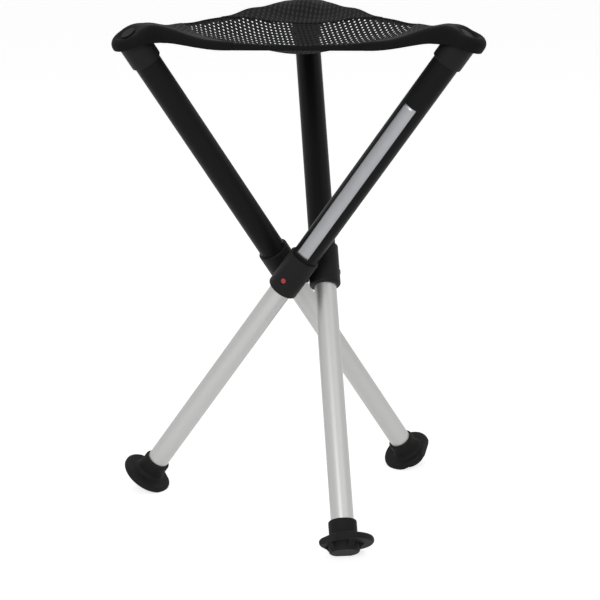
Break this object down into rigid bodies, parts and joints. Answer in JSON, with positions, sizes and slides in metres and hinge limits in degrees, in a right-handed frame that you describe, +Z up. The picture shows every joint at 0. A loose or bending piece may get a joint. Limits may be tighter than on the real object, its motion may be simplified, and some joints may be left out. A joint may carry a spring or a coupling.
{
  "type": "folding stool",
  "caption": "Folding tripod stool with telescopic aluminium legs that cross at a waist hub, push-button leg locks, wide rubber feet and a slung mesh seat.",
  "frame": {"origin": "on the floor, at the bottom centre of the open stool's bounding box; the stool's own axis stands 9 mm from it, at x 6.1 mm, y -6.9 mm", "axes": "+Z up; +Y towards the rear seat corner; the picture's view is from -Y"},
  "size_m": [0.3378, 0.3564, 0.4713],
  "materials": {
    "black_tube": "satin black anodised",
    "bare_tube": "satin clear anodised",
    "nylon": "fine moulded texture",
    "rivet_plastic": "smooth moulded",
    "red_button": "moulded",
    "steel": "zinc plated",
    "foot_rubber": "moulded matte",
    "seat_cloth": "woven polyester",
    "seat_mesh": "knitted open mesh"
  },
  "bodies": {
    "hub": {"hub_block": "nylon", "seat_mesh": "seat_mesh", "seat_border": "seat_cloth", "pivot_rivet_a": "steel", "pivot_rivet_b": "steel", "pivot_rivet_c": "steel"},
    "leg_a": {"upper_tube_a": "black_tube", "joint_collar_a": "nylon", "top_cap_a": "nylon", "seat_corner_a": "seat_cloth", "corner_rivet_a": "rivet_plastic"},
    "lower_a": {"lower_tube_a": "bare_tube", "glide_bush_a": "nylon", "lock_spring_a": "steel", "foot_a": "foot_rubber"},
    "button_a": {"release_button_a": "red_button"},
    "leg_b": {"upper_tube_b": "black_tube", "joint_collar_b": "nylon", "top_cap_b": "nylon", "seat_corner_b": "seat_cloth", "corner_rivet_b": "rivet_plastic"},
    "lower_b": {"lower_tube_b": "bare_tube", "glide_bush_b": "nylon", "lock_spring_b": "steel", "foot_b": "foot_rubber"},
    "button_b": {"release_button_b": "red_button"},
    "leg_c": {"upper_tube_c": "black_tube", "joint_collar_c": "nylon", "top_cap_c": "nylon", "seat_corner_c": "seat_cloth", "corner_rivet_c": "rivet_plastic"},
    "lower_c": {"lower_tube_c": "bare_tube", "glide_bush_c": "nylon", "lock_spring_c": "steel", "foot_c": "foot_rubber"},
    "button_c": {"release_button_c": "red_button"}
  },
  "joints": [
    {"name": "fold_a", "type": "hinge", "parent": "hub", "child": "leg_a", "pos_m": [-0.00266, -0.02837, 0.22814], "axis": [-0.3782, -0.9257, 0], "range_deg": [0, 36], "deforming": ["seat_mesh", "seat_border"]},
    {"name": "fold_b", "type": "hinge", "parent": "hub", "child": "leg_b", "pos_m": [0.0291, -0.00376, 0.22814], "axis": [0.9908, 0.1353, 0], "range_deg": [0, 36]},
    {"name": "fold_c", "type": "hinge", "parent": "hub", "child": "leg_c", "pos_m": [-0.0081, 0.01144, 0.22814], "axis": [-0.6126, 0.7904, 0], "range_deg": [0, 36]},
    {"name": "slide_a", "type": "slide", "parent": "leg_a", "child": "lower_a", "axis": [0.5441, -0.2223, 0.809], "range_m": [0, 0.224], "deforming": ["lock_spring_a"]},
    {"name": "slide_b", "type": "slide", "parent": "leg_b", "child": "lower_b", "axis": [-0.0795, 0.5824, 0.809], "range_m": [0, 0.224], "deforming": ["lock_spring_b"]},
    {"name": "slide_c", "type": "slide", "parent": "leg_c", "child": "lower_c", "axis": [-0.4646, -0.3601, 0.809], "range_m": [0, 0.224], "deforming": ["lock_spring_c"]},
    {"name": "press_a", "type": "slide", "parent": "leg_a", "child": "button_a", "axis": [0.3782, 0.9257, 0], "range_m": [0, 0.0015], "stiffness_N_per_m": 600, "springref_m": -0.004},
    {"name": "press_b", "type": "slide", "parent": "leg_b", "child": "button_b", "axis": [-0.9908, -0.1353, 0], "range_m": [0, 0.0015], "stiffness_N_per_m": 600, "springref_m": -0.004},
    {"name": "press_c", "type": "slide", "parent": "leg_c", "child": "button_c", "axis": [0.6126, -0.7904, 0], "range_m": [0, 0.0015], "stiffness_N_per_m": 600, "springref_m": -0.004}
  ],
  "couplings": [
    {"joint": "fold_b", "follows": "fold_a", "ratio": 1},
    {"joint": "fold_c", "follows": "fold_a", "ratio": 1}
  ]
}
